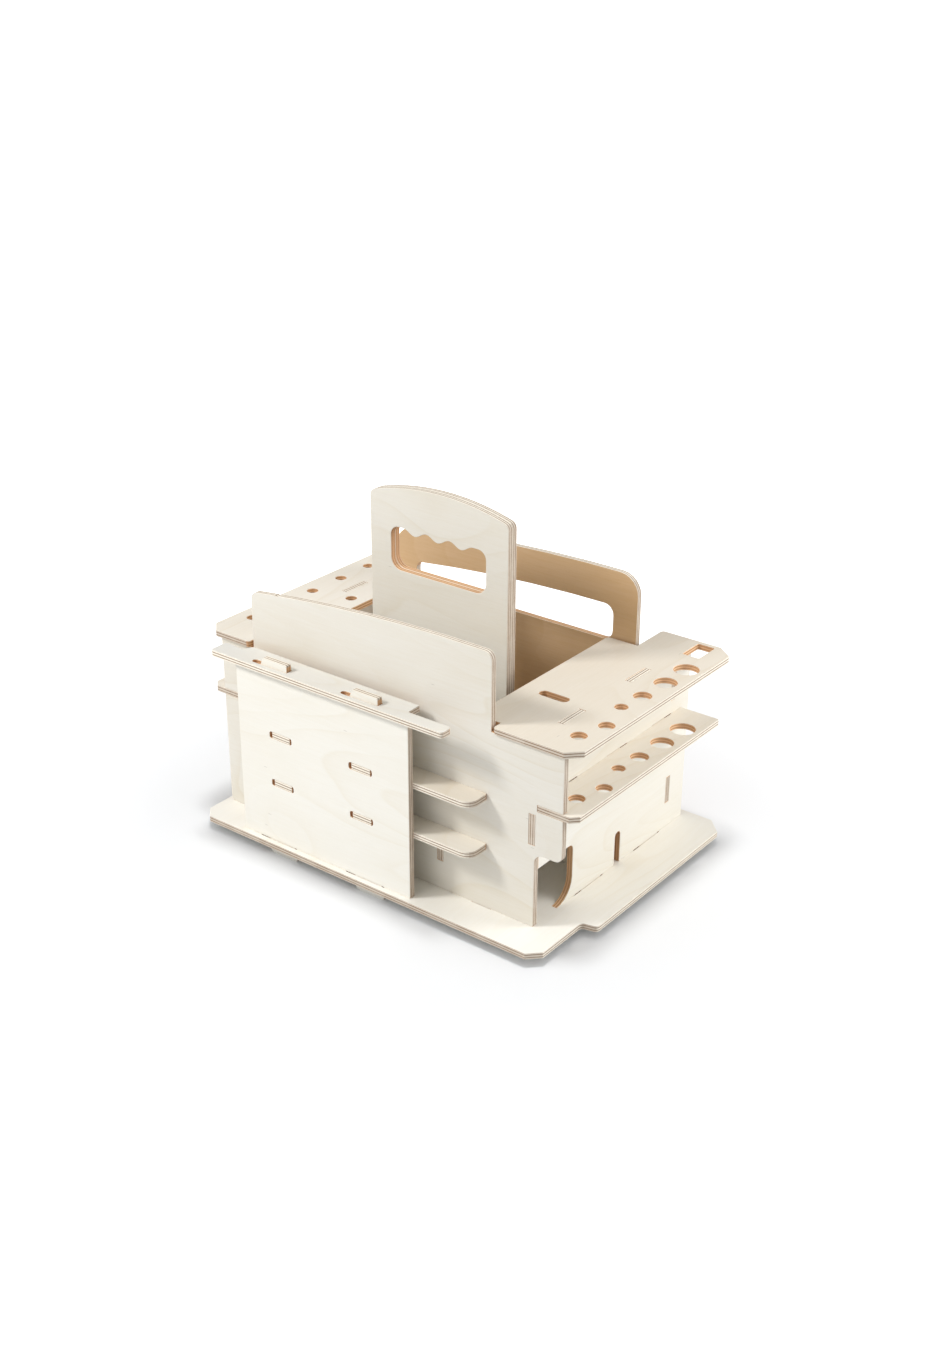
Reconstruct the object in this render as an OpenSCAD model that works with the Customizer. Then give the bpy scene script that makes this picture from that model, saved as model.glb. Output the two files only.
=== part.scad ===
// Open tool tote of tab-and-slot plywood boards, shaped to stand in a stackable case.
// Every board is one flat sheet of five-ply birch. X runs along the front, -Y is the
// front, +Z is up. The origin is the middle of the footprint, on the standing plane.

/* [Overall] */
// Length of the base board over its ends
base_l = 380; // [370:1:390]
// Depth of the base board from front to back
base_d = 259; // [256:1:263]
// Thickness of every board
ply = 5.5; // [5:0.1:6]
// Height of the hook tabs that the tote stands on, below the base board
foot_h = 7; // [5:0.5:8]
// Gap left all round a tab in its slot
fit = 0.3; // [0.2:0.05:0.4]

/* [Base outline] */
// How far the front part of each end is set in
end_inset = 13.4; // [10:0.2:16]
// Length of the set-in part, measured from the front edge
end_inset_d = 62.3; // [50:0.1:70]
// Chamfer on the two front corners
front_cut = 10; // [6:1:14]
// Chamfer on the two rear corners
rear_cut = 14; // [8:1:18]

/* [Front pocket] */
// Ledge of the base board in front of the front panel
ledge = 5.3; // [4:0.1:7]
// Length of the front panel
panel_l = 180; // [170:1:190]
// Where the front panel starts, from the middle
panel_x = -129; // [-132:0.5:-124]
// Height of the front panel above the base board
panel_h = 155.5; // [148:0.5:158]
// Inside width of the pocket behind the front panel
pocket_w = 21.6; // [20:0.1:23]
// Underside of the lower pocket shelf above the base board
low_shelf_h = 52.7; // [48:0.1:58]
// Underside of the upper pocket shelf above the base board
high_shelf_h = 96.7; // [90:0.1:100]
// Right end of both pocket shelves, from the middle
shelf_end = 106; // [96:1:110]
// Left end of the top strip, from the middle
strip_x0 = -152; // [-154:0.5:-146]
// Right end of the top strip, from the middle
strip_x1 = 88; // [84:1:92]

/* [Walls] */
// Ledge of the base board outside each end wall
end_ledge = 39.5; // [38:0.5:40]
// Ledge of the base board behind the rear wall
rear_ledge = 31; // [29:0.5:32]
// Top of the low parts of the walls above the base board
wing_h = 155.5; // [150:0.5:158]
// How far the left end of the inner front wall stands inside the base board
left_wing_inset = 18; // [16:0.5:20]
// How far the right end of the inner front wall stands inside the base board
right_wing_inset = 14.5; // [13.5:0.5:17]
// Middle of the raised part of the long walls
mid_x = -13; // [-15:0.5:-11]
// Half the length of the raised part of the inner front wall
raised_half = 122; // [120:0.5:123]
// Half the length of the raised part of the rear wall
rear_raised_half = 127; // [124:0.5:128]
// Highest point of the raised part above the base board
raised_top = 220; // [212:0.5:224]
// Where the arched top is highest, from the middle
arch_x = 75; // [60:1:85]
// Radius of the arched top of the long walls
arch_r = 1500; // [1200:50:1800]
// Depth of the rail above the window of the rear wall
rail_h = 31; // [28:0.5:34]
// Height of the window of the rear wall at its highest
window_h = 31.5; // [28:0.5:34]

/* [Handle] */
// Middle of the handle and its grip, from the middle
handle_x = -14.6; // [-16:0.2:-12]
// Length of the upper part of the handle boards
handle_l = 140.2; // [136:0.2:144]
// Top of the handle above the base board
handle_top = 288.9; // [280:0.1:292]
// Radius of the arched top of the handle
handle_r = 240; // [200:5:280]
// Length of the grip opening
grip_l = 97; // [95:0.5:100]
// Height of the grip opening to the tops of the finger lobes
grip_h = 37.4; // [34:0.2:40]
// Wood left between the grip opening and the top of the handle
grip_wood = 36.4; // [34:0.2:42]
// Number of finger lobes
finger_n = 4; // [3:1:4]
// Top of the wide lower part of the handle boards above the base board
keel_h = 90; // [80:1:100]

/* [Tiers] */
// How far the outer edge of the end tiers stands inside the base board
tier_inset = 3; // [1:0.5:4]
// Underside of the middle tiers above the base board
mid_tier_h = 102.5; // [100:0.5:106]
// How far the rear edge of the middle tiers stands in front of the base board's
mid_tier_rear_inset = 20; // [16:0.5:24]
// How far the rear edge of the upper tiers stands in front of the base board's
up_tier_rear_inset = 0; // [0:0.5:3]
// Distance from the outer edge of a tier to its row of large tool holes
hole_row = 16; // [14:0.5:18]
// How far the upper tiers stand in front of the inner front wall
up_tier_lip = 2.3; // [1.5:0.1:3]
// Inner edge of the right upper tier, from the middle
right_tier_in = 88; // [82:1:94]
// Inner edge of the left upper tier, from the middle
left_tier_in = -118; // [-122:1:-112]
// Chamfer on the front outer corner of the upper tiers
up_cut = 11; // [9:0.5:12]
// Length along the end of the chamfer on their rear outer corner
up_rear_cut = 11; // [9:0.5:14]
// Chamfer on the front outer corner of the middle tiers
mid_cut = 6; // [5:0.5:8]

/* [Hidden] */
$fn = 48;
edge = 0.5;                      // how far a tab or cutter runs past a face

// Heights of the base board and of what stands on it
base_z = foot_h;
deck = foot_h + ply;             // top face of the base board
function up(h) = deck + h;       // a height above the base board, in the part's frame

// Places of the boards from front to back: each is the board's front face
front_y = -base_d / 2;
panel_y = front_y + ledge;
pocket_y = panel_y + ply;        // back face of the front panel
wall_y = pocket_y + pocket_w;
wall_back = wall_y + ply;
rear_y = base_d / 2 - rear_ledge - ply;
end_face = base_l / 2 - end_ledge;
end_in = end_face - ply;         // inner face of each end wall
end_tail = 28;                   // how far the end walls reach past the rear wall's face
end_back = rear_y + end_tail;
wall_x0 = left_wing_inset - base_l / 2;
wall_x1 = base_l / 2 - right_wing_inset;

// Outer and rear edges of the tiers
tier_x = base_l / 2 - tier_inset;
mid_tier_back = base_d / 2 - mid_tier_rear_inset;
up_tier_back = base_d / 2 - up_tier_rear_inset;

// Raised parts of the long walls, under one arch
raised_x0 = mid_x - raised_half;
raised_x1 = mid_x + raised_half;
rear_raised_x0 = mid_x - rear_raised_half;
rear_raised_x1 = mid_x + rear_raised_half;
function arch(x, top) = top - (x - arch_x) * (x - arch_x) / (2 * arch_r);
window_side = 23;                // wood left at each end of the rear wall's window
window_x0 = rear_raised_x0 + window_side;
window_x1 = rear_raised_x1 - window_side;

// Handle
handle_x0 = handle_x - handle_l / 2;
handle_x1 = handle_x + handle_l / 2;
grip_top = up(handle_top - grip_wood);
grip_bottom = grip_top - grip_h;
lobe = 4.7;                      // depth of the finger lobes
lobe_pitch = 23.6;

// Tabs
tab_l = 28;                      // length of the large hook tabs
tab_rise = 5.7;                  // height of the top tabs above the strip
hook = 2.2;                      // reach of a hook tab past its own neck
slot_run = 40;                   // length of a slot for a hook tab
shelf_tab_l = 19.5;
shelf_slot_before = 3;           // free slot to the left of a shelf's tab
shelf_slot_after = 1.5;          // free slot to its right
slot_round = 2;                  // radius that the cutter leaves in a slot's corners
small_tab = 18;
panel_tab_in = 28.4;             // from the panel's left edge to its first hook tab
panel_tab_pitch = 94.2;
panel_tab_xs = [for (i = [0:1]) panel_x + panel_tab_in + i * panel_tab_pitch];
shelf_tab_in = 37;               // from the panel's left edge to a shelf's first tab
shelf_tab_pitch = 85;
shelf_tab_xs = [for (i = [0:1]) panel_x + shelf_tab_in + i * shelf_tab_pitch];
wall_tab_xs = [-120, -14, 92];
rear_tab_xs = [-120, -14, 92];
keel_tab_xs = [-60, 30];
end_tab_ys = [-31, 55];
tier_tab_ys = [-62, 30];
shoulder_gap = 3;                // between the upper tiers and the raised walls' ends
mid_tab_ys = [-70, 0, 66];
rear_end_tab_l = 24;             // length of the tabs that join rear and end walls
rear_end_tab_low = 24;           // height of the lower of them
rear_end_tab_drop = 35.5;        // how far the upper one starts below the wings' top
rear_end_tab_hs = [rear_end_tab_low, wing_h - rear_end_tab_drop];
front_end_tab_l = 26;            // length of the tab that joins front and end walls
front_end_tab_h = 72.5;          // height of that tab
mid_slot_l = 40;                 // length of the open slots for the middle tiers
mid_notch = 2;                   // how far those slots start outside the end walls
divider_off = 73;                // from the middle of the raised parts to each divider
divider_xs = [mid_x - divider_off, mid_x + divider_off];
divider_h = 84;
divider_tab_l = 20;              // length of the dividers' side tabs
divider_tab_h = 26;              // height of those tabs
front_divider_tab_y = -60;       // front ends of the dividers' base tabs
rear_divider_tab_y = 40;

// Round holes for tools: [distance from the middle, y, diameter]
hole_x = tier_x - hole_row;
chisel_holes = [[hole_x - 0.5, 14.5, 15], [hole_x + 1, 45.5, 19], [hole_x + 1.5, 76, 21]];
bit_holes = [[hole_x - 1.6, -70.5, 13], [hole_x + 5.6, -44.5, 13], [hole_x - 3, -11.5, 11]];
driver_d = 10;
driver_pitch = 37.5;
driver_row_gap = 38;             // between the outer and the inner row
driver_outer = [for (y = [-61:driver_pitch:89]) [hole_x, y, driver_d]];
driver_inner = [for (y = [-58, -22, 22, 58]) [hole_x - driver_row_gap, y, driver_d]];

// Vector from one point to another, one unit long
function unit(v) = v / norm(v);

// Points of one rounded corner at b, between a and c, with radius r
function corner(a, b, c, r, n = 6) =
    let (
        u = unit(a - b),
        v = unit(c - b),
        half = acos(max(-1, min(1, u * v))) / 2,
        m = b + unit(u + v) * r / sin(half),
        s = b + u * r / tan(half) - m,
        e = b + v * r / tan(half) - m,
        a0 = atan2(s[1], s[0]),
        turn = atan2(e[1], e[0]) - a0,
        d = turn > 180 ? turn - 360 : (turn < -180 ? turn + 360 : turn)
    )
    [for (i = [0:n]) m + r * [cos(a0 + d * i / n), sin(a0 + d * i / n)]];

// Closed outline of [x, y, r] points, where r rounds the corner and 0 leaves it sharp
function outline(p) = [
    for (i = [0:len(p) - 1])
        let (
            n = len(p),
            a = [p[(i + n - 1) % n][0], p[(i + n - 1) % n][1]],
            b = [p[i][0], p[i][1]],
            c = [p[(i + 1) % n][0], p[(i + 1) % n][1]]
        )
        each (p[i][2] > 0 ? corner(a, b, c, p[i][2]) : [b])
];

// Rectangle from corner to corner, with one radius
module panel_2d(x0, y0, x1, y1, r = 0) {
    polygon(outline([[x0, y0, r], [x1, y0, r], [x1, y1, r], [x0, y1, r]]));
}

// Slot of a given length with half-round ends, along x
module stadium(x0, x1, y, w) {
    translate([x0 + w / 2, y - w / 2]) square([x1 - x0 - w, w]);
    for (x = [x0 + w / 2, x1 - w / 2]) {
        translate([x, y]) circle(d = w);
    }
}

// A flat board at height z, drawn in x and y
module flat_board(z) {
    translate([0, 0, z]) linear_extrude(ply) children();
}

// A board that faces the front, with its front face at y, drawn in x and z
module face_board(y) {
    translate([0, y + ply, 0]) rotate([90, 0, 0]) linear_extrude(ply) children();
}

// A board that faces the ends, with its left face at x, drawn in y and z
module side_board(x) {
    translate([x, 0, 0]) rotate([90, 0, 90]) linear_extrude(ply) children();
}

// Slot in a flat board for a board that faces the front
module slot_x(x0, x1, y) {
    translate([x0, y - fit]) square([x1 - x0, ply + 2 * fit]);
}

// Slot in a flat board for a board that faces the ends
module slot_y(x, y0, y1) {
    translate([x - fit, y0]) square([ply + 2 * fit, y1 - y0]);
}

// Hook tab below the base: a neck through the slot and a foot that hooks to the right
module hook_tab_2d(x) {
    polygon(outline([
        [x, deck + edge, 0], [x, 0, 4], [x + tab_l + hook, 0, 1.5],
        [x + tab_l + hook, base_z - fit, 0], [x + tab_l, base_z - fit, 0],
        [x + tab_l, deck + edge, 0]
    ]));
}

// Plain tab through the base board, flush with its underside
module base_tab_2d(x, l) {
    translate([x, base_z]) square([l, ply + edge]);
}

module base_plate() {
    rear_half = base_l / 2;
    front_half = rear_half - end_inset;
    step_y = front_y + end_inset_d;
    back_y = base_d / 2;
    color("burlywood")
    flat_board(base_z) difference() {
        polygon(outline([
            [-front_half + front_cut, front_y, 1.5],
            [front_half - front_cut, front_y, 1.5],
            [front_half, front_y + front_cut, 1.5],
            [front_half, step_y - 2, 4],
            [rear_half, step_y + 1, 4],
            [rear_half, back_y - rear_cut, 2],
            [rear_half - rear_cut, back_y, 2],
            [-rear_half + rear_cut, back_y, 2],
            [-rear_half, back_y - rear_cut, 2],
            [-rear_half, step_y + 1, 4],
            [-front_half, step_y - 2, 4],
            [-front_half, front_y + front_cut, 1.5]
        ]));
        for (x = panel_tab_xs) {
            slot_x(x - slot_run + tab_l + hook, x + tab_l + hook + fit, panel_y);
        }
        for (x = wall_tab_xs) {
            slot_x(x - fit, x + small_tab + fit, wall_y);
        }
        for (x = rear_tab_xs) {
            slot_x(x - slot_run + tab_l + hook, x + tab_l + hook + fit, rear_y);
        }
        for (x = keel_tab_xs) {
            translate([x - fit, -ply - fit]) square([small_tab + 2 * fit, 2 * ply + 2 * fit]);
        }
        for (x = [-end_face, end_in]) {
            for (y = end_tab_ys) {
                slot_y(x, y - slot_run + tab_l + hook, y + tab_l + hook + fit);
            }
        }
        for (x = divider_xs) {
            for (y = [front_divider_tab_y, rear_divider_tab_y]) {
                slot_y(x - ply / 2, y - fit, y + small_tab + fit);
            }
        }
    }
}

module front_panel() {
    x1 = panel_x + panel_l;
    color("ivory")
    face_board(panel_y) difference() {
        union() {
            panel_2d(panel_x, deck, x1, up(panel_h), 0);
            for (x = panel_tab_xs) {
                hook_tab_2d(x);
                polygon(outline([
                    [x, up(panel_h) - edge, 0], [x + tab_l, up(panel_h) - edge, 0],
                    [x + tab_l, up(panel_h) + ply + tab_rise, 1.5],
                    [x + 2.2, up(panel_h) + ply + tab_rise, 1.5],
                    [x, up(panel_h) + ply + 0.5, 1]
                ]));
            }
        }
        for (h = [low_shelf_h, high_shelf_h], x = shelf_tab_xs) {
            panel_2d(
                x - shelf_slot_before, up(h) - fit,
                x + shelf_tab_l + shelf_slot_after, up(h) + ply + fit, slot_round
            );
        }
    }
}

module front_top_strip() {
    front = front_y;
    main_back = wall_y - 7;      // a gap stays before the inner front wall
    step_x = panel_x + panel_l - 5;
    right_finger_w = 11.8;
    left_finger_w = 17;
    left_finger_l = 21;
    hole_d = 5.2;                // round end that the cutter leaves beside each tab
    hole_run = 10;
    color("ivory")
    flat_board(up(panel_h)) difference() {
        polygon(outline([
            [strip_x0, front, 3], [strip_x1, front, 3],
            [strip_x1, front + right_finger_w, 3.5],
            [step_x + 0.6, front + right_finger_w, 0.8],
            [step_x + 0.4, main_back, 0.8],
            [strip_x0 + left_finger_l + 2.5, main_back, 4],
            [strip_x0 + left_finger_l, front + left_finger_w, 4],
            [strip_x0, front + left_finger_w + 1, 3]
        ]));
        for (x = panel_tab_xs) {
            slot_x(x - fit, x + tab_l + fit, panel_y);
            stadium(x - hole_run, x + 1, panel_y + hole_d / 2 - 0.8, hole_d);
        }
    }
}

// Shelf of the front pocket: tabs through the front panel and through the inner wall
module pocket_shelf(h) {
    x0 = panel_x + 4;
    color("navajowhite")
    flat_board(up(h)) {
        polygon(outline([
            [x0, pocket_y, 0], [shelf_end, pocket_y, 10], [shelf_end, wall_y, 2], [x0, wall_y, 0]
        ]));
        for (x = shelf_tab_xs) {
            translate([x, panel_y]) square([shelf_tab_l - fit, ply + edge]);
        }
        for (x = shelf_tab_xs) {
            translate([x + fit, wall_y - edge]) square([small_tab - 2 * fit, ply + edge]);
        }
    }
}

module upper_pocket_shelf() {
    pocket_shelf(high_shelf_h);
}

module lower_pocket_shelf() {
    pocket_shelf(low_shelf_h);
}

// Raised outline of a long wall from its right shoulder to its left one
function raised(x0, x1, top, r) = [
    [x1, up(wing_h), 0],
    [x1, arch(x1, top), r],
    for (i = [1:13])
        let (x = x1 - (x1 - x0) * i / 14)
        [x, arch(x, top), 0],
    [x0, arch(x0, top), r],
    [x0, up(wing_h), 0]
];

module inner_front_wall() {
    notch_h = 65.5;              // underside of the right wing above the base board
    top = up(raised_top);
    color("antiquewhite")
    face_board(wall_y) difference() {
        union() {
            polygon(outline(concat(
                [
                    [wall_x0, deck, 3], [end_face, deck, 0],
                    [end_face, up(notch_h), 8], [wall_x1, up(notch_h), 6],
                    [wall_x1, up(wing_h), 0]
                ],
                raised(raised_x0, raised_x1, top, 7),
                [[wall_x0, up(wing_h), 0]]
            )));
            for (x = wall_tab_xs) {
                base_tab_2d(x, small_tab);
            }
        }
        // step in the top edge near the left shoulder
        translate([raised_x0 + 27, arch(raised_x0 + 34, top) - 1.2]) square([3, 4]);
        for (h = [low_shelf_h, high_shelf_h], x = shelf_tab_xs) {
            translate([x, up(h) - fit]) square([small_tab, ply + 2 * fit]);
        }
        // slots for the tabs of the end walls
        for (x = [-end_face, end_in]) {
            translate([x - fit, up(front_end_tab_h) - fit])
                square([ply + 2 * fit, front_end_tab_l + 2 * fit]);
        }
        // slots that the middle tiers slide into, open at the ends
        for (side = [0, 1]) {
            mirror([side, 0, 0])
                translate([end_face + mid_notch - fit, up(mid_tier_h) - fit])
                square([mid_slot_l, ply + 2 * fit]);
        }
        // slots for the tabs of the front dividers
        for (x = divider_xs) {
            translate([x - ply / 2 - fit, up(divider_tab_h) - fit])
                square([ply + 2 * fit, divider_tab_l + 2 * fit]);
        }
    }
}

module rear_wall() {
    top = up(raised_top);
    color("burlywood")
    face_board(rear_y) difference() {
        union() {
            polygon(outline(concat(
                [[-end_in, deck, 0], [end_in, deck, 0], [end_in, up(wing_h), 0]],
                raised(rear_raised_x0, rear_raised_x1, top, 18),
                [[-end_in, up(wing_h), 0]]
            )));
            for (x = rear_tab_xs) {
                hook_tab_2d(x);
            }
            for (h = rear_end_tab_hs) {
                translate([-end_face, up(h)]) square([2 * end_face, rear_end_tab_l]);
            }
        }
        // window below the arched rail
        polygon(outline(concat(
            [
                [window_x0, arch(arch_x, top) - rail_h - window_h, 9],
                [window_x1, arch(arch_x, top) - rail_h - window_h, 9],
                [window_x1, arch(window_x1, top) - rail_h, 9]
            ],
            [
                for (i = [1:9])
                    let (x = window_x1 + (window_x0 - window_x1) * i / 10)
                    [x, arch(x, top) - rail_h, 0]
            ],
            [[window_x0, arch(window_x0, top) - rail_h, 6]]
        )));
        for (x = divider_xs) {
            translate([x - ply / 2 - fit, up(divider_tab_h) - fit])
                square([ply + 2 * fit, divider_tab_l + 2 * fit]);
        }
    }
}

// End wall with its left face at x: long-tool notch low at the front, saw slot, tabs
module end_wall(x) {
    notch_y = -44.4;
    notch_h = 49.5;
    toe = 20;                    // radius of the wall's rounded toe beside the notch
    saw_y = 16.4;
    saw_w = 7.8;
    saw_h = 30;
    color("antiquewhite")
    side_board(x) difference() {
        union() {
            polygon(outline([
                [notch_y - toe, deck, 0], [end_back, deck, 0], [end_back, up(wing_h), 0],
                [wall_back, up(wing_h), 0], [wall_back, up(notch_h), 0],
                [notch_y, up(notch_h), 5], [notch_y, deck + toe, 0],
                each [
                    for (a = [15:15:75])
                        [notch_y - toe + toe * cos(a), deck + toe - toe * sin(a), 0]
                ]
            ]));
            for (y = end_tab_ys) {
                hook_tab_2d(y);
            }
            for (y = tier_tab_ys) {
                translate([y, up(wing_h) - edge]) square([tab_l, ply + edge]);
            }
            // tab through the inner front wall
            translate([wall_y, up(front_end_tab_h)]) square([ply + edge, front_end_tab_l]);
        }
        translate([saw_y, deck - edge]) square([saw_w, saw_h - saw_w / 2]);
        translate([saw_y + saw_w / 2, up(saw_h) - saw_w / 2]) circle(d = saw_w);
        for (h = rear_end_tab_hs) {
            translate([rear_y - fit, up(h) - fit])
                square([ply + 2 * fit, rear_end_tab_l + 2 * fit]);
        }
        for (y = mid_tab_ys) {
            translate([y - fit, up(mid_tier_h) - fit]) square([small_tab + 10, ply + 2 * fit]);
        }
    }
}

module left_end_wall() {
    end_wall(-end_face);
}

module right_end_wall() {
    end_wall(end_in);
}

// Outline of both handle boards: a wide keel, a narrower neck and the arched grip
module handle_2d() {
    steps = 14;
    top = up(handle_top);
    function crown(x) = top - handle_r + sqrt(handle_r * handle_r - (x - handle_x) * (x - handle_x));
    difference() {
        union() {
            polygon(outline(concat(
                [
                    [-end_in, deck, 0], [end_in, deck, 0], [end_in, up(keel_h), 8],
                    [handle_x1, up(keel_h), 14], [handle_x1, crown(handle_x1), 6]
                ],
                [
                    for (i = [1:steps - 1])
                        let (x = handle_x1 - handle_l * i / steps)
                        [x, crown(x), 0]
                ],
                [
                    [handle_x0, crown(handle_x0), 6], [handle_x0, up(keel_h), 14],
                    [-end_in, up(keel_h), 8]
                ]
            )));
            for (x = keel_tab_xs) {
                base_tab_2d(x, small_tab);
            }
        }
        grip_2d();
    }
}

// Grip opening: straight below, one lobe for each finger above
module grip_2d() {
    x0 = handle_x - grip_l / 2;
    x1 = handle_x + grip_l / 2;
    last = handle_x + lobe_pitch * (finger_n - 1) / 2;
    lobe_steps = 12;
    polygon(outline(concat(
        [[x1, grip_bottom, 10], [x1, grip_top, 8]],
        [
            for (i = [0:lobe_steps * (finger_n - 1)])
                let (x = last - lobe_pitch * i / lobe_steps)
                [x, grip_top - lobe / 2 + lobe / 2 * cos(360 * (x - last) / lobe_pitch), 0]
        ],
        [[x0, grip_top, 8], [x0, grip_bottom, 10]]
    )));
}

module handle_front_plate() {
    color("antiquewhite") face_board(-ply) handle_2d();
}

module handle_rear_plate() {
    color("wheat") face_board(0) handle_2d();
}

// Upper tier of the right end: its shoulders clear the raised walls, inner is its inner edge
module upper_tier_2d(shoulder, rear_shoulder, inner) {
    front = wall_y - up_tier_lip;
    gap = 2;                     // between the tier and the long walls that rise past it
    polygon(outline([
        [shoulder, front, 3], [tier_x - up_cut, front, 1], [tier_x, front + up_cut, 1],
        [tier_x, up_tier_back - up_rear_cut, 2], [tier_x - rear_cut, up_tier_back, 2],
        [rear_shoulder, up_tier_back, 3], [rear_shoulder, rear_y - gap, 0],
        [inner, rear_y - gap, 4], [inner, wall_back + gap, 4], [shoulder, wall_back + gap, 0]
    ]));
}

// Round holes of a tier
module tool_holes(list) {
    for (p = list) {
        translate([p[0], p[1]]) circle(d = p[2]);
    }
}

// Slots of an upper tier for the top tabs of an end wall
module tier_slots() {
    for (y = tier_tab_ys) {
        slot_y(end_in, y - fit, y + tab_l + fit);
    }
}

module left_upper_tier() {
    color("tan")
    mirror([1, 0, 0]) flat_board(up(wing_h)) difference() {
        upper_tier_2d(
            shoulder_gap - raised_x0, shoulder_gap - rear_raised_x0, -left_tier_in
        );
        tier_slots();
        tool_holes(driver_outer);
        tool_holes(driver_inner);
    }
}

module right_upper_tier() {
    corner_slot_x = tier_x - 33;
    corner_slot_w = 15.7;
    corner_slot_d = 25.4;
    rear_margin = 4.1;           // wood left behind the corner slot
    blade_slot_x = end_face - 46.5;
    blade_slot_l = 27;
    color("tan")
    flat_board(up(wing_h)) difference() {
        upper_tier_2d(
            raised_x1 + shoulder_gap, rear_raised_x1 + shoulder_gap, right_tier_in
        );
        tier_slots();
        tool_holes(chisel_holes);
        tool_holes(bit_holes);
        // slot for long tools at the rear corner
        panel_2d(
            corner_slot_x, up_tier_back - rear_margin - corner_slot_d,
            corner_slot_x + corner_slot_w, up_tier_back - rear_margin, 1.5
        );
        // slot for a flat blade near the inner edge
        stadium(blade_slot_x, blade_slot_x + blade_slot_l, -28, 9);
    }
}

// Middle tier of the right end: hangs on tabs, notched round the inner front wall
module mid_tier_2d() {
    polygon(outline([
        [end_face + mid_notch, wall_y, 0], [tier_x - mid_cut, wall_y, 0.8],
        [tier_x, wall_y + mid_cut, 0.8], [tier_x, mid_tier_back, 1.5],
        [end_face, mid_tier_back, 0], [end_face, wall_back + fit, 0],
        [end_face + mid_notch, wall_back + fit, 0]
    ]));
    for (y = mid_tab_ys) {
        translate([end_in, y]) square([ply + edge, small_tab]);
    }
}

module left_mid_tier() {
    color("tan")
    mirror([1, 0, 0]) flat_board(up(mid_tier_h)) difference() {
        mid_tier_2d();
        tool_holes(driver_outer);
    }
}

module right_mid_tier() {
    color("tan")
    flat_board(up(mid_tier_h)) difference() {
        mid_tier_2d();
        tool_holes(chisel_holes);
        tool_holes(bit_holes);
    }
}

// Divider between two long boards: from y0 to y1, with a tab into the board at tab_y
module divider(x, y0, y1, tab_y, base_y) {
    color("wheat")
    side_board(x - ply / 2) {
        polygon(outline([
            [y0, deck, 0], [y1, deck, 0], [y1, up(divider_h), 6], [y0, up(divider_h), 6]
        ]));
        translate([tab_y, up(divider_tab_h)]) square([ply + edge, divider_tab_l]);
        translate([base_y, base_z]) square([small_tab, ply + edge]);
    }
}

module front_left_divider() {
    divider(divider_xs[0], wall_back, -ply, wall_y, front_divider_tab_y);
}

module front_right_divider() {
    divider(divider_xs[1], wall_back, -ply, wall_y, front_divider_tab_y);
}

module rear_left_divider() {
    divider(divider_xs[0], ply, rear_y, rear_y - edge, rear_divider_tab_y);
}

module rear_right_divider() {
    divider(divider_xs[1], ply, rear_y, rear_y - edge, rear_divider_tab_y);
}

base_plate();
front_panel();
front_top_strip();
upper_pocket_shelf();
lower_pocket_shelf();
inner_front_wall();
rear_wall();
left_end_wall();
right_end_wall();
handle_front_plate();
handle_rear_plate();
left_upper_tier();
right_upper_tier();
left_mid_tier();
right_mid_tier();
front_left_divider();
front_right_divider();
rear_left_divider();
rear_right_divider();
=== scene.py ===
# %% [markdown]
# # An open tool tote of birch plywood
#
# The real tote is cut from thin birch plywood: nineteen flat boards whose tabs push into
# slots. It has no lid, no screws and nothing that moves. This lesson starts from the solid
# boards, eases their edges as sandpaper would, gives them birch veneer and striped cut
# edges, and sets them on a white studio floor. Lengths are metres: +X runs to the right,
# -Y is the front and +Z is up.

import math

import bpy
from mathutils import Matrix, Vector
from mathutils.bvhtree import BVHTree


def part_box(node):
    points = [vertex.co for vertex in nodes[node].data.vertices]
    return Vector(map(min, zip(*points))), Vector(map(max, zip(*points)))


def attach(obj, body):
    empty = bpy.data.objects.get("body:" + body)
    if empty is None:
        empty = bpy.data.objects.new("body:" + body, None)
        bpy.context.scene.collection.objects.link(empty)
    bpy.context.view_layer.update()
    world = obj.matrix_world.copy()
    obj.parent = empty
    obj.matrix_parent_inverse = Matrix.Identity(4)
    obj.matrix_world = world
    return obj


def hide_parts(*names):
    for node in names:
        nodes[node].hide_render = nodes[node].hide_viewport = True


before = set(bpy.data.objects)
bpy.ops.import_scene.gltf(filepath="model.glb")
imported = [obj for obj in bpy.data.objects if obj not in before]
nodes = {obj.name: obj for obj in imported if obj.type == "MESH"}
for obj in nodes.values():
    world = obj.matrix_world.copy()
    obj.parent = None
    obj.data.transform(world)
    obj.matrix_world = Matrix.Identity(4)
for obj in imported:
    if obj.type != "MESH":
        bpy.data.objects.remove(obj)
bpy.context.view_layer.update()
PLY = 0.0055
print(len(nodes), "boards loaded, each", PLY * 1000, "mm thick")

# %% [markdown]
# ## Picking one thing at a time
#
# Blender's operators act on everything that is selected, and a fresh import is selected
# all over. So each step first lets go of everything and then picks what it works on.


# %% Pick helpers
def pick(thing):
    """Selects one object alone and makes it the active one."""
    bpy.ops.object.select_all(action="DESELECT")
    thing.select_set(True)
    bpy.context.view_layer.objects.active = thing


def in_edit_mode(thing, *steps):
    """Runs modelling steps on the whole mesh of one object."""
    pick(thing)
    bpy.ops.object.mode_set(mode="EDIT")
    bpy.ops.mesh.select_all(action="SELECT")
    for step in steps:
        step()
    bpy.ops.object.mode_set(mode="OBJECT")


# %% [markdown]
# ## The shader's arithmetic
#
# A wood pattern is mostly sums and products of noises. Wrapping a socket in a small class
# lets those be written as plain expressions: `1 - mask * 0.2` adds its own Math nodes.


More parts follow.
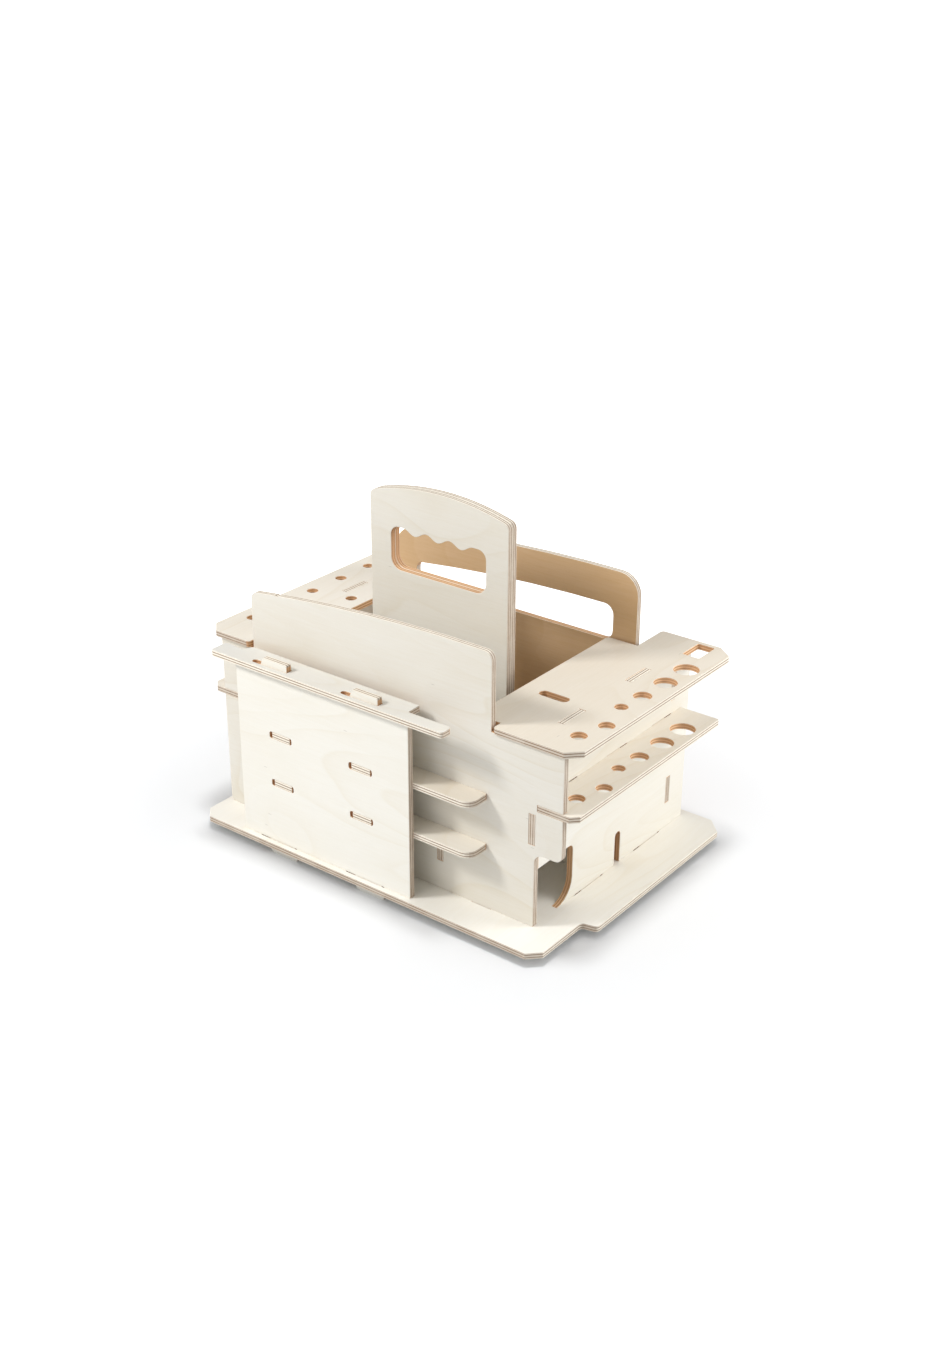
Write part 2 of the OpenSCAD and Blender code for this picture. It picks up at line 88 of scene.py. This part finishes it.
# %% Sums written as sums
class Value:
    """One output socket of a node tree, with arithmetic."""

    def __init__(self, home, socket):
        self.home = home
        self.socket = socket

    def maths(self, operation, *operands):
        return self.home.add("ShaderNodeMath", {"operation": operation}, operands)

    def __add__(self, other):
        return self.maths("ADD", self, other)

    def __sub__(self, other):
        return self.maths("SUBTRACT", self, other)

    def __rsub__(self, other):
        return self.maths("SUBTRACT", other, self)

    def __mul__(self, other):
        return self.maths("MULTIPLY", self, other)

    def __truediv__(self, other):
        return self.maths("DIVIDE", self, other)

    __radd__ = __add__
    __rmul__ = __mul__

    def power(self, exponent):
        return self.maths("POWER", self, exponent)

    def steps(self):
        """What is left after the whole number: a saw from 0 to 1."""
        return self.maths("FRACT", self)

    def away_from(self, middle):
        """How far the value lies from a middle, never below 0."""
        return self.maths("ABSOLUTE", self - middle)

    def beside(self, name):
        """Another output of the node that this value comes from."""
        return Value(self.home, self.socket.node.outputs[name])

    def ramp(self, low, high, at_low=0.0, at_high=1.0):
        """A smooth step between two levels."""
        settings = {"interpolation_type": "SMOOTHSTEP", "clamp": True}
        operands = {"Value": self, "From Min": low, "From Max": high}
        operands.update({"To Min": at_low, "To Max": at_high})
        return self.home.add("ShaderNodeMapRange", settings, operands)


# %% [markdown]
# ## One place where nodes are made
#
# Nodes could be set up one by one with a dozen lines each. Here every node of the wood, the
# paper and the sky comes from `add`: its type, its settings, then the values or links of
# its sockets. What comes back is a `Value`, ready for the next sum.


# %% A node tree being filled
class Nodes:
    """A node tree, and the one way that nodes are added to it."""

    def __init__(self, tree):
        self.tree = tree

    def add(self, kind, settings=None, sockets=(), output=0):
        node = self.tree.nodes.new(kind)
        for key, setting in (settings or {}).items():
            setattr(node, key, setting)
        pairs = sockets.items() if isinstance(sockets, dict) else enumerate(sockets)
        for key, given in pairs:
            self.feed(node.inputs[key], given)
        return Value(self, node.outputs[output])

    def feed(self, socket, given):
        if isinstance(given, Value):
            self.tree.links.new(given.socket, socket)
        else:
            socket.default_value = given

    def when_seen(self, unseen, seen):
        """One shader for light that only travels, and another that the camera sees."""
        rays = self.add("ShaderNodeLightPath", output="Is Camera Ray")
        return self.add("ShaderNodeMixShader", None, [rays, unseen, seen])


# %% [markdown]
# ## A material for one board
#
# Plywood could be painted with photographs of plywood, but they would repeat and blur close
# up. Noises have no end and no seam, so the wood is made of them. The first class is any
# matt material, and the second adds the few patterns that veneer and cut edges need:
# stretched noise, scattered points, blends.


# %% A material being made
MATT = 0.35  # how strongly bare wood and paper mirror, where 0.5 is lacquer or plastic


class Finish(Nodes):
    """A matt material with one surface."""

    def __init__(self, name):
        self.material = bpy.data.materials.new(name)
        self.material.use_nodes = True
        super().__init__(self.material.node_tree)
        self.surface = self.tree.nodes["Principled BSDF"]
        self.feed(self.surface.inputs["Specular IOR Level"], MATT)


class Wood(Finish):
    """A material made of the patterns that wood shows."""

    def places(self, turn, shift):
        """Places on the board in metres, turned so that the grain runs along X."""
        spots = self.add("ShaderNodeTexCoord", output="Object")
        settings = {"vector_type": "POINT"}
        sockets = {"Vector": spots, "Rotation": turn, "Location": shift}
        return self.add("ShaderNodeMapping", settings, sockets)

    def noise(self, spots, stretch, detail=2.0, roughness=0.5, warp=0.0):
        """A noise whose waves per metre differ along and across the grain."""
        sockets = {"Vector": spots, "Scale": stretch}
        scaled = self.add("ShaderNodeMapping", {"vector_type": "POINT"}, sockets)
        sockets = {"Vector": scaled, "Scale": 1.0, "Detail": detail}
        sockets.update({"Roughness": roughness, "Distortion": warp})
        return self.add("ShaderNodeTexNoise", {"normalize": True}, sockets)

    def scatter(self, spots, stretch):
        """The distance to the one random point that each cell of the board holds."""
        sockets = {"Vector": spots, "Scale": stretch}
        scaled = self.add("ShaderNodeMapping", {"vector_type": "POINT"}, sockets)
        sockets = {"Vector": scaled, "Scale": 1.0}
        return self.add("ShaderNodeTexVoronoi", {"voronoi_dimensions": "2D"}, sockets)

    def marked(self, name):
        """A number that the board's faces carry under a name."""
        return self.add("ShaderNodeAttribute", {"attribute_name": name}, output="Fac")

    def red(self, colour):
        """The red part of a colour, as one number."""
        return self.add("ShaderNodeSeparateColor", None, {"Color": colour})

    def blend(self, share, first, second):
        """Two colours mixed by a share from 0 to 1. The node has a socket of each name
        for every kind of data, so those for colour are picked by number."""
        settings = {"data_type": "RGBA", "blend_type": "MIX"}
        sockets = {0: share, 6: first, 7: second}
        return self.add("ShaderNodeMix", settings, sockets, output=2)

    def finish(self, colour, roughness, height, depth):
        """Feeds the surface: its colour, its roughness and its fine relief in metres."""
        self.feed(self.surface.inputs["Base Color"], colour)
        self.feed(self.surface.inputs["Roughness"], roughness)
        sockets = {"Strength": 1.0, "Distance": depth, "Height": height}
        bump = self.add("ShaderNodeBump", None, sockets)
        self.feed(self.surface.inputs["Normal"], bump)
        return self.material


# %% [markdown]
# ## Colours of birch
#
# Fresh birch veneer is nearly white, and each sheet has its own warmth: the front panel and
# the base of the real tote are the palest and the boards behind are creamier. The right
# upper tier's sandier tone is partly its veneer and partly painted shade, and the rear
# wall's deep honey is painted shade, the warm brown of a board in shade. One colour for all
# would look like plastic, so the veneers get names of their own. The flecks are grey, and
# the cut edges
# need four more: pale and brown plies, in a plain tone and in a browner, more orange tone
# that is painted shade for edges in recesses. Late wood is the same veneer a little deeper,
# and it loses more blue than green and more green than red, as warm wood does.


# %% Birch colours, linear
SNOW = (0.930, 0.910, 0.850, 1.0)
CHALK = (0.895, 0.873, 0.806, 1.0)
MILK = (0.805, 0.790, 0.745, 1.0)
CREAM = (0.880, 0.832, 0.745, 1.0)
LINEN = (0.805, 0.775, 0.705, 1.0)
# on the right upper tier this tone is partly painted shade, darkened toward the shade on the
# tier's front
SAND = (0.825, 0.762, 0.662, 1.0)
WHEAT = (0.830, 0.745, 0.600, 1.0)
# painted shade: the rear wall's deep honey is the warm brown of a board in shade, lit by
# light thrown back from wood
SHADED_HONEY = (0.690, 0.490, 0.300, 1.0)
FLECK = (0.400, 0.360, 0.310, 1.0)
PLY_PALE = (0.920, 0.860, 0.750, 1.0)
PLY_BROWN = (0.260, 0.150, 0.085, 1.0)
# painted shade: the browner, more orange ply tones of edges in slots, holes, notches and
# near other boards
RECESS_SHADE_PALE = (0.820, 0.530, 0.300, 1.0)
RECESS_SHADE_BROWN = (0.440, 0.230, 0.115, 1.0)
LOSSES = (1.0, 1.5, 2.4)  # how fast red, green and blue fall as the wood deepens


def warmer(colour, share):
    """The same veneer a little deeper, as in its late wood."""
    lit = [part * (1 - share * loss) for part, loss in zip(colour, LOSSES)]
    return (*lit, 1.0)


print("palest veneer", SNOW[:3], "deepest", SHADED_HONEY[:3])


# %% [markdown]
# ## Grain runs with the board
#
# A sheet of veneer has a direction, and boards are sawn from it in two: the long upright
# boards, the strip and the shelves have their grain along X, and the base, the end walls
# and the tiers along Y. The pattern is drawn once, with its grain on X and the thickness on
# Z, and each board turns it to its own two axes: the one that its faces look along and the
# one that its grain runs along.

# %% Turns of the pattern
QUARTER = math.pi / 2
TURNS = {
    (2, 0): (0.0, 0.0, 0.0),
    (2, 1): (0.0, 0.0, -QUARTER),
    (1, 0): (-QUARTER, 0.0, 0.0),
    (0, 1): (0.0, QUARTER, -QUARTER),
}
print(len(TURNS), "ways that a board can lie")


# %% [markdown]
# ## The veneer on a board's faces
#
# Birch is peeled from the log like paper from a roll, so its growth rings show as a few
# wandering contour lines, and between them the sheet is calm. Slicing a slow noise into
# levels gives the same kind of lines: each level deepens a little and then stops at an edge.
# Silk, a noise stretched far along the grain, gives the fine streaks, and a Voronoi pattern
# scatters rare grey flecks, at most one to a cell. Each triple of numbers below says how
# many waves or cells go to a metre: along the grain, across it and through the board.


# %% Veneer
GROWTH_LEVELS = 17.0  # the levels that the slow noise is sliced into
FLECK_CELLS = (11.0, 75.0, 1.0)
BARE_CELLS = 0.90  # the share of cells that hold no fleck
VENEER_RELIEF = 0.00005  # metres


def veneer(name, turn, shift, ground, figure):
    """The faces of one board: its palest wood, and how strongly its figure shows."""
    wood = Wood(name)
    spots = wood.places(turn, shift)
    clouds = wood.noise(spots, (5.0, 12.0, 12.0))
    rings = wood.noise(spots, (3.4, 7.5, 7.5), detail=1.5, roughness=0.4, warp=0.5)
    late_wood = (rings * GROWTH_LEVELS).steps()
    line = late_wood.power(7.0) * late_wood.ramp(0.93, 0.995, 1.0, 0.0)
    line_zones = wood.noise(spots, (6.0, 10.0, 10.0), detail=1.0).ramp(0.40, 0.62)
    silk = wood.noise(spots, (24.0, 520.0, 520.0), detail=3.0, roughness=0.65)
    pores = wood.noise(spots, (150.0, 1500.0, 1500.0), detail=1.0)
    deeper = clouds.ramp(0.30, 0.70) * 0.55 + silk.ramp(0.30, 0.70) * 0.30
    deeper = deeper + pores.ramp(0.55, 0.80) * 0.25 + late_wood * 0.18
    colour = wood.blend(deeper, ground, warmer(ground, figure * 0.15))
    colour = wood.blend(line * line_zones * figure, colour, warmer(ground, 0.17))
    cells = wood.scatter(spots, FLECK_CELLS)
    chance = wood.red(cells.beside("Color")).ramp(BARE_CELLS, BARE_CELLS + 0.01)
    fleck = cells.ramp(0.010, 0.030, 1.0, 0.0) * chance
    colour = wood.blend(fleck * 0.45, colour, FLECK)
    roughness = 0.50 + silk * 0.14 + fleck * 0.15
    relief = silk + pores * 0.5 - fleck * 0.5
    return wood.finish(colour, roughness, relief, VENEER_RELIEF)


# %% [markdown]
# ## The five plies on the cut edges
#
# Across the thickness lie five plies. The second and the fourth are thin and turned by a
# quarter, and with the glue on both sides of them they show as two brown lines on every
# edge. On an edge across the board's grain the other three plies show end grain, which is
# darker. `depth` counts from 0 at one face to 1 at the other, and a little noise moves the
# lines, because veneers are never quite the same thickness. Edges inside slots, holes and
# notches, and edges that face another board close by, get painted shade: a browner, more
# orange tone for the shade that falls in such recesses. Each face of the board carries two
# numbers that say how far it is end grain and whether it gets this painted recess shade.


# %% Cut edges
CROSS_PLY = 0.205  # from the board's middle to a cross ply's, in thicknesses
LINE_CORE, LINE_RIM = 0.045, 0.085  # half a brown line's width, where full and where gone
END_GRAIN = 0.42  # how brown end grain is, where a cross ply is 1
EDGE_RELIEF = 0.00003  # metres


def cut_edge(name, axis, first_face, shift):
    """The edges of a board whose faces look along the given axis."""
    wood = Wood(name)
    spots = wood.add("ShaderNodeTexCoord", output="Object")
    along = wood.places((0, 0, 0), shift)
    place = wood.add("ShaderNodeSeparateXYZ", None, {"Vector": spots}, output=axis)
    drift = wood.noise(along, (16.0, 16.0, 16.0))
    saw = wood.noise(along, (800.0, 800.0, 800.0))
    patches = wood.noise(along, (60.0, 60.0, 60.0))
    depth = (place - first_face) / PLY + (drift - 0.5) * 0.05
    from_cross_ply = depth.away_from(0.5).away_from(CROSS_PLY)
    cross_ply = 1 - from_cross_ply.ramp(LINE_CORE, LINE_RIM)
    end_grain = wood.marked("end_grain").ramp(0.45, 0.90)
    browner = cross_ply + (1 - cross_ply) * end_grain * END_GRAIN
    # painted shade: this mark is 1 on edges in a recess, where both plies take the painted
    # shade tones
    recess_shade = wood.marked("recess_shade")
    pale = wood.blend(saw.ramp(0.30, 0.75) * 0.6, PLY_PALE, warmer(PLY_PALE, 0.08))
    pale = wood.blend(recess_shade, pale, RECESS_SHADE_PALE)
    brown = wood.blend(patches.ramp(0.35, 0.70) * 0.18, PLY_BROWN, PLY_PALE)
    brown = wood.blend(saw.ramp(0.35, 0.70) * 0.20, brown, warmer(PLY_BROWN, 0.20))
    brown = wood.blend(recess_shade, brown, RECESS_SHADE_BROWN)
    colour = wood.blend(browner, pale, brown)
    roughness = 0.58 + saw * 0.14
    relief = saw - browner * 0.6
    return wood.finish(colour, roughness, relief, EDGE_RELIEF)


# %% [markdown]
# ## Easing a board's edges
#
# A saw leaves a sharp arris and sandpaper takes it off. Here a copy of each solid board is
# joined up, cleared of the lines that cut its flat faces into triangles, and given a bevel
# of a third of a millimetre. The bevel is what makes an edge catch the light.


# %% A worked board
SAME_SPOT = 0.00001  # corners this near to each other are one
SAME_PLANE = math.radians(1)  # faces that meet at less are joined
EASED = 0.00035  # the width of the bevel
SHARP = math.radians(35)  # arrises steeper than this are eased
ROUND_BELOW = math.radians(18)  # faces that meet at less look like one curve


def worked_board(node):
    """A copy of a solid board with whole faces and eased edges."""
    board = bpy.data.objects.new(node + "_board", nodes[node].data.copy())
    bpy.context.scene.collection.objects.link(board)
    board.data.materials.clear()
    in_edit_mode(
        board,
        lambda: bpy.ops.mesh.remove_doubles(threshold=SAME_SPOT),
        lambda: bpy.ops.mesh.dissolve_limited(angle_limit=SAME_PLANE),
    )
    bevel = board.modifiers.new("Eased edges", "BEVEL")
    bevel.width = EASED
    bevel.segments = 2
    bevel.limit_method = "ANGLE"
    bevel.angle_limit = SHARP
    bevel.use_clamp_overlap = False
    pick(board)
    bpy.ops.object.modifier_apply(modifier=bevel.name)
    bpy.ops.object.shade_smooth_by_angle(angle=ROUND_BELOW)
    return board


# %% [markdown]
# ## Every board in turn
#
# All nineteen boards are the same stuff, so one function works them all. The list says, for
# each board, which way its faces look (0 is X, 1 is Y, 2 is Z), which way its grain runs,
# its veneer's colour, how much figure shows and which finish of the record it carries.

# %% Make the boards
BOARDS = [
    ("base_plate", 2, 1, SNOW, 0.30, "base_ply"),
    ("front_panel", 1, 0, CHALK, 0.26, "panel_ply"),
    ("front_top_strip", 2, 0, MILK, 0.30, "panel_ply"),
    ("upper_pocket_shelf", 2, 0, SAND, 0.30, "shelf_ply"),
    ("lower_pocket_shelf", 2, 0, CREAM, 0.30, "shelf_ply"),
    ("inner_front_wall", 1, 0, LINEN, 0.35, "wall_ply"),
    # painted shade: the rear wall takes the warm brown that it shows in shade
    ("rear_wall", 1, 0, SHADED_HONEY, 0.80, "wall_ply"),
    ("left_end_wall", 0, 1, CREAM, 0.30, "wall_ply"),
    ("right_end_wall", 0, 1, CHALK, 0.30, "wall_ply"),
    ("handle_front_plate", 1, 0, LINEN, 0.35, "handle_ply"),
    ("handle_rear_plate", 1, 0, CREAM, 0.30, "handle_ply"),
    ("left_upper_tier", 2, 1, CREAM, 0.30, "tier_ply"),
    # partly painted shade: a sandier tone that stands in for the shade on the tier's front
    ("right_upper_tier", 2, 1, SAND, 0.30, "tier_ply"),
    ("left_mid_tier", 2, 1, CREAM, 0.30, "tier_ply"),
    ("right_mid_tier", 2, 1, CREAM, 0.30, "tier_ply"),
    ("front_left_divider", 0, 1, CREAM, 0.30, "divider_ply"),
    ("front_right_divider", 0, 1, WHEAT, 0.30, "divider_ply"),
    ("rear_left_divider", 0, 1, CREAM, 0.30, "divider_ply"),
    ("rear_right_divider", 0, 1, WHEAT, 0.30, "divider_ply"),
]
boards = {}
for row in BOARDS:
    board = worked_board(row[0])
    boards[row[0]] = board
    print(board.name, len(board.data.polygons), "faces")

# %% [markdown]
# ## Telling faces, edges and slots apart
#
# A board's flat faces look along its thickness, and every other face is a cut edge. Outer
# edges are sanded pale, while those inside a slot, a hole, the grip or a notch, and those
# that face another board close by, get painted shade: a browner, more orange tone for the
# shade that falls in the recess. They could be picked by hand, but there are hundreds. An
# edge lies inside a cut if a straight line from it, square to the edge, soon meets wood
# again, and one search tree over all the boards finds that out.


# %% All the wood in one search tree
def all_the_wood():
    """The faces of every board in one tree, for finding what a line meets."""
    corners, faces = [], []
    for board in boards.values():
        start = len(corners)
        corners += [v.co.copy() for v in board.data.vertices]
        faces += [tuple(start + v for v in p.vertices) for p in board.data.polygons]
    return BVHTree.FromPolygons(corners, faces)


wood_tree = all_the_wood()
REACH = 0.11  # the widest cut is the grip, at 97 mm
OFF_THE_FACE = 0.0002  # a line starts this far out, so that it misses its own face


def inside_a_cut(polygon):
    """Whether a line from an edge face meets wood again within reach."""
    start = polygon.center + polygon.normal * OFF_THE_FACE
    return wood_tree.ray_cast(start, polygon.normal, REACH)[0] is not None


print("search tree made, with a reach of", REACH * 1000, "mm")


# %% [markdown]
# ## Dressing the boards
#
# Each board gets two materials of its own, so that no two sheets show the same figure: the
# pattern is shifted a little further for each. The faces stay flat shaded, and only the
# eased arrises are smooth. The two numbers for the edges are stored on the faces of the
# mesh, where the material reads them by name.


# %% Dress the boards
FACE_OR_EDGE = 0.92  # a face is flat where this much of its normal looks along the axis
DEAD_FLAT = 0.9999  # and this much where it is no part of a bevel
SHIFTS = (0.37, 0.53, 0.29)  # metres, far more than a figure is wide


def dress(board, axis, grain, face, edge):
    """Gives the flat faces the veneer and the edges the plies, and marks the edges."""
    mesh = board.data
    mesh.materials.append(face)
    mesh.materials.append(edge)
    end_grain = mesh.attributes.new("end_grain", "FLOAT", "FACE").data
    recess_shade = mesh.attributes.new("recess_shade", "FLOAT", "FACE").data
    inner = 0
    for polygon in mesh.polygons:
        across = abs(polygon.normal[axis])
        polygon.use_smooth = across < DEAD_FLAT
        polygon.material_index = 0 if across > FACE_OR_EDGE else 1
        end_grain[polygon.index].value = abs(polygon.normal[grain])
        # an edge face that meets wood within reach is marked for painted recess shade
        if across <= FACE_OR_EDGE and inside_a_cut(polygon):
            recess_shade[polygon.index].value = 1.0
            inner += 1
    return inner


for count, (node, axis, grain, ground, figure, slot) in enumerate(BOARDS):
    shift = (SHIFTS[0] * count, SHIFTS[1] * (count % 5), SHIFTS[2] * (count % 7))
    first_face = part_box(node)[0][axis]
    face = veneer(node + "_veneer", TURNS[axis, grain], shift, ground, figure)
    edge = cut_edge(node + "_plies", axis, first_face, shift)
    board = boards[node]
    inner = dress(board, axis, grain, face, edge)
    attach(board, "root")
    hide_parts(node)
    print(node, inner, "edge faces inside cuts")

# %% [markdown]
# ## The white floor
#
# The studio is white on white. A photographer lights the paper apart from the object, so
# that it goes pure white with only a soft shadow at the object's foot. A cut-out on plain
# white would lose that shadow. Here the paper is matt, and far out, where no lamp reaches,
# the camera sees it glow by itself. It is a touch cool, against the warm light that the
# wood throws on it.


# %% White floor
PAPER = (0.868, 0.880, 0.896, 1.0)
PAPER_ROUGHNESS = 0.9
GLOW_STARTS, GLOW_FULL = 0.24, 0.75  # metres from the middle of the foot
FAINT = 0.05  # the glow at the foot, where 1 is white
FLOOR = 60.0


def white_paper():
    """Matt paper whose glow grows with the distance from the tote."""
    paper = Finish("white_paper")
    paper.feed(paper.surface.inputs["Base Color"], PAPER)
    paper.feed(paper.surface.inputs["Roughness"], PAPER_ROUGHNESS)
    matt = Value(paper, paper.surface.outputs["BSDF"])
    spots = paper.add("ShaderNodeTexCoord", output="Object")
    far = paper.add("ShaderNodeVectorMath", {"operation": "LENGTH"}, [spots], "Value")
    strength = far.ramp(GLOW_STARTS, GLOW_FULL, FAINT, 1.0)
    glow = paper.add("ShaderNodeEmission", None, {"Strength": strength})
    glowing = paper.add("ShaderNodeAddShader", None, [matt, glow])
    ending = paper.tree.nodes["Material Output"]
    paper.feed(ending.inputs["Surface"], paper.when_seen(matt, glowing))
    return paper.material


bpy.ops.object.select_all(action="DESELECT")
bpy.ops.mesh.primitive_plane_add(size=FLOOR, location=(0.0, 0.0, 0.0))
floor = bpy.context.object
floor.name = "floor"
floor.data.materials.append(white_paper())
print("floor", tuple(floor.dimensions), "m")

# %% [markdown]
# ## An even sky
#
# White walls and a white ceiling throw light from everywhere. One plain world colour does
# the same. It is dimmer for the objects than for the camera, which sees it pure white.

# %% Even sky
WHITE = (1.0, 1.0, 1.0, 1.0)
SKY_LIGHT = 0.45
sky = bpy.data.worlds.new("sky")
bpy.context.scene.world = sky
sky.use_nodes = True
air = Nodes(sky.node_tree)
dim = air.add("ShaderNodeBackground", None, {"Color": WHITE, "Strength": SKY_LIGHT})
bright = air.add("ShaderNodeBackground", None, {"Color": WHITE, "Strength": 1.0})
ending = sky.node_tree.nodes["World Output"]
air.feed(ending.inputs["Surface"], air.when_seen(dim, bright))
print("sky light", SKY_LIGHT)

# %% [markdown]
# ## Soft lamps
#
# A soft box at the front left makes the panel the brightest board, a second one at the right
# fills the end wall, and a wide one in front opens the shadows, as a white board would. Two
# more reach the paper alone, by light linking: a wide wash, and a spot nearly overhead that
# puts the shadow at the foot. With one set of lamps for both, the pale wood would burn out
# before the paper turned white.


# %% Soft lamps
AIM = 0.12  # the height on the tote that the lamps look at


def soft_lamp(name, around, above, away, size, level, for_floor):
    """A square lamp that looks at the tote: its bearing and height in degrees, how far
    away it stands, its side, the level that it gives a white surface that faces it, and
    whether it lights the floor alone or everything but the floor."""
    flat = away * math.cos(math.radians(above))
    east = flat * math.cos(math.radians(around))
    north = flat * math.sin(math.radians(around))
    up = away * math.sin(math.radians(above)) + AIM
    bpy.ops.object.select_all(action="DESELECT")
    bpy.ops.object.light_add(type="AREA", location=(east, north, up))
    lamp = bpy.context.object
    lamp.name = name
    lamp.data.size = size
    lamp.data.energy = level * (math.pi * away) ** 2  # watts
    lamp.rotation_euler = (math.radians(90 - above), 0.0, math.radians(around + 90))
    reach = bpy.data.collections.new(name + "_reach")
    reach.objects.link(floor)
    lamp.light_linking.receiver_collection = reach
    state = "INCLUDE" if for_floor else "EXCLUDE"
    reach.collection_objects[0].light_linking.link_state = state
    print(name, [round(place, 2) for place in lamp.location])


LAMPS = [
    ("key", -130.0, 41.0, 1.6, 0.30, 0.53, False),
    ("right_fill", 30.0, 25.0, 1.1, 0.60, 0.56, False),
    ("front_reflector", -105.0, 38.0, 1.3, 0.80, 0.17, False),
    ("floor_wash", 0.0, 90.0, 1.4, 3.00, 0.70, True),
    ("floor_spot", -22.0, 88.5, 2.0, 0.30, 0.44, True),
]
for row in LAMPS:
    soft_lamp(*row)

# %% [markdown]
# ## The camera
#
# The place, the turns and the lens were worked out from the corners of the boards, so that
# the picture lies on the photograph corner for corner. The turns are 37.5 degrees round
# from the front, 25.7 degrees down and a hair of roll. The view transform is Standard,
# because it shows the written colours as they are.

# %% Camera at the photograph's place
PLACE = (0.78027, -0.99677, 0.74750)
ROUND, DOWN, ROLL = 37.5358, 25.7298, 0.2302
LENS, SENSOR = 44.697, 36.0
bpy.ops.object.select_all(action="DESELECT")
bpy.ops.object.camera_add(location=PLACE)
camera = bpy.context.object
camera.name = "camera"
camera.data.lens = LENS
camera.data.sensor_width = SENSOR
camera.data.clip_end = 100.0
turned = Matrix.Rotation(math.radians(ROUND), 3, "Z")
tilted = Matrix.Rotation(math.radians(90.0 - DOWN), 3, "X")
rolled = Matrix.Rotation(math.radians(ROLL), 3, "Z")
camera.rotation_euler = (turned @ tilted @ rolled).to_euler()
bpy.context.scene.camera = camera
bpy.context.scene.view_settings.view_transform = "Standard"
print("camera", round(camera.location.length, 3), "m from the middle of the foot")
